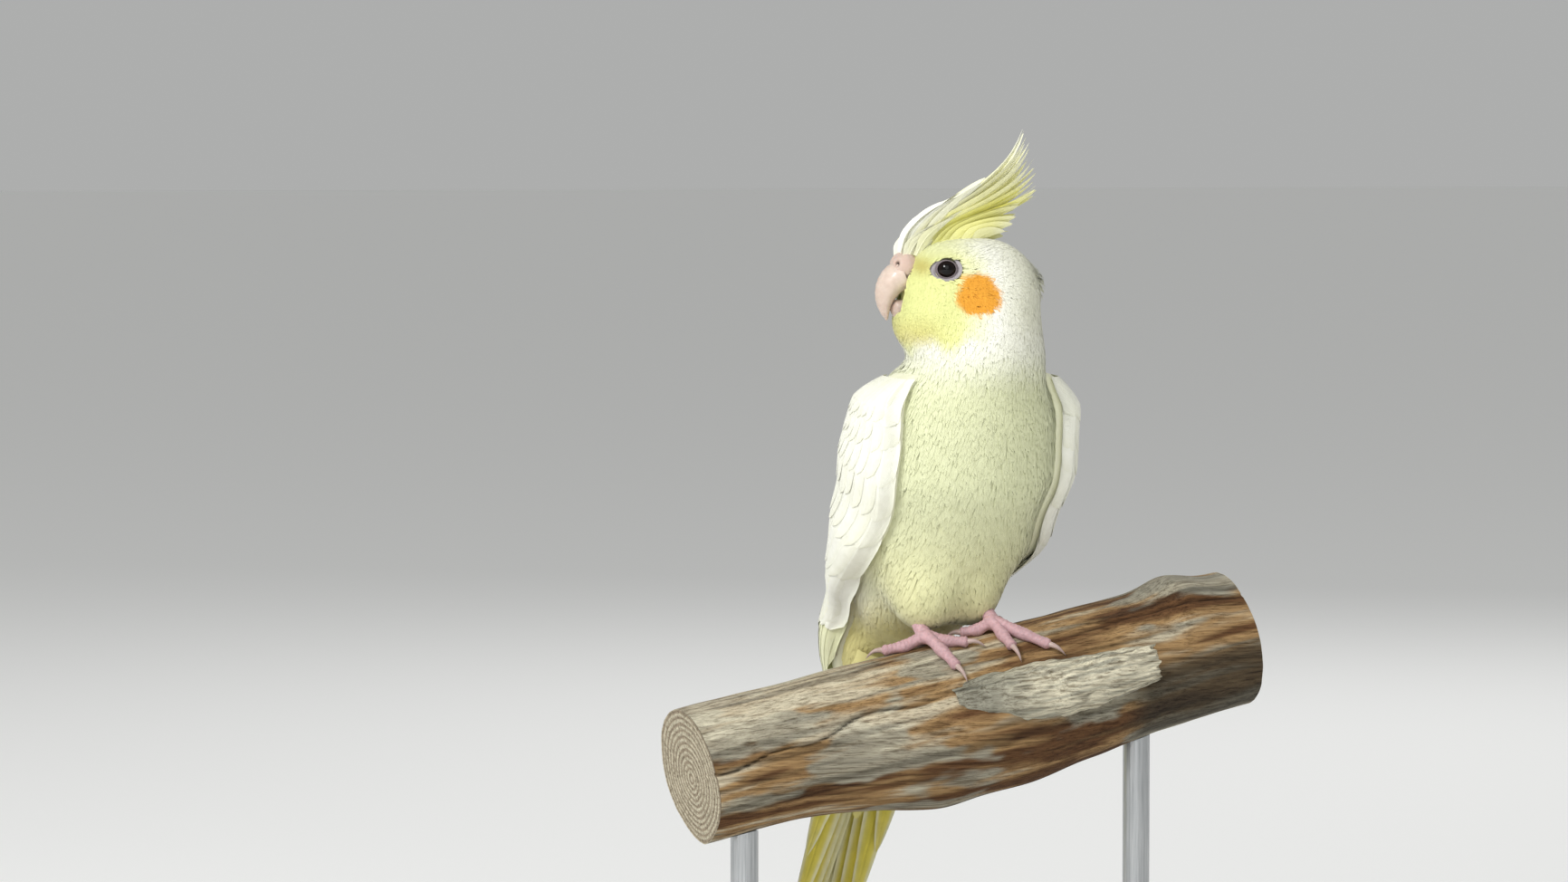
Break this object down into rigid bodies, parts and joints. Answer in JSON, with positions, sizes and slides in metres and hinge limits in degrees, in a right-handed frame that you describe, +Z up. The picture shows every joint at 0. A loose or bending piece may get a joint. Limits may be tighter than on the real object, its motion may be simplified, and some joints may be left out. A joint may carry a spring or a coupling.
{
  "type": "cockatiel on a perch",
  "caption": "Upright crested parrot with a long hanging tail and turned head, gripping a cut length of branch held on a flat display stand.",
  "frame": {"origin": "centre of the underside of the stand's base", "axes": "+Z up; the bird's breast faces -Y and its left side is +X; its head is turned towards -X"},
  "size_m": [0.1805, 0.1733, 0.3042],
  "materials": {
    "head_feathers": "soft pale yellow feathers",
    "body_feathers": "soft creamy white feathers",
    "wing_feathers": "smooth white flight feathers",
    "tail_feathers": "yellow tail feathers",
    "crest_feathers": "yellow crest feathers",
    "bill": "horn-like, satin",
    "cere_skin": "bare matt skin",
    "eye": "wet gloss",
    "foot_skin": "scaly bare skin",
    "claw": "horn-like, satin",
    "perch_wood": "bare weathered wood",
    "stand_wood": "dark satin finish",
    "stand_rod": "fine brushed"
  },
  "bodies": {
    "root": {"bill_lower": "bill", "bill_upper": "bill", "cere": "cere_skin", "claw_left_inner_back": "claw", "claw_left_inner_front": "claw", "claw_left_outer_back": "claw", "claw_left_outer_front": "claw", "claw_right_inner_back": "claw", "claw_right_inner_front": "claw", "claw_right_outer_back": "claw", "claw_right_outer_front": "claw", "crest": "crest_feathers", "eye_left": "eye", "eye_right": "eye", "foot_left": "foot_skin", "foot_right": "foot_skin", "head": "head_feathers", "neck": "head_feathers", "perch": "perch_wood", "stand_base": "stand_wood", "stand_rod_left": "stand_rod", "stand_rod_right": "stand_rod", "tail": "tail_feathers", "torso": "body_feathers", "wing_left": "wing_feathers", "wing_right": "wing_feathers"}
  },
  "joints": []
}
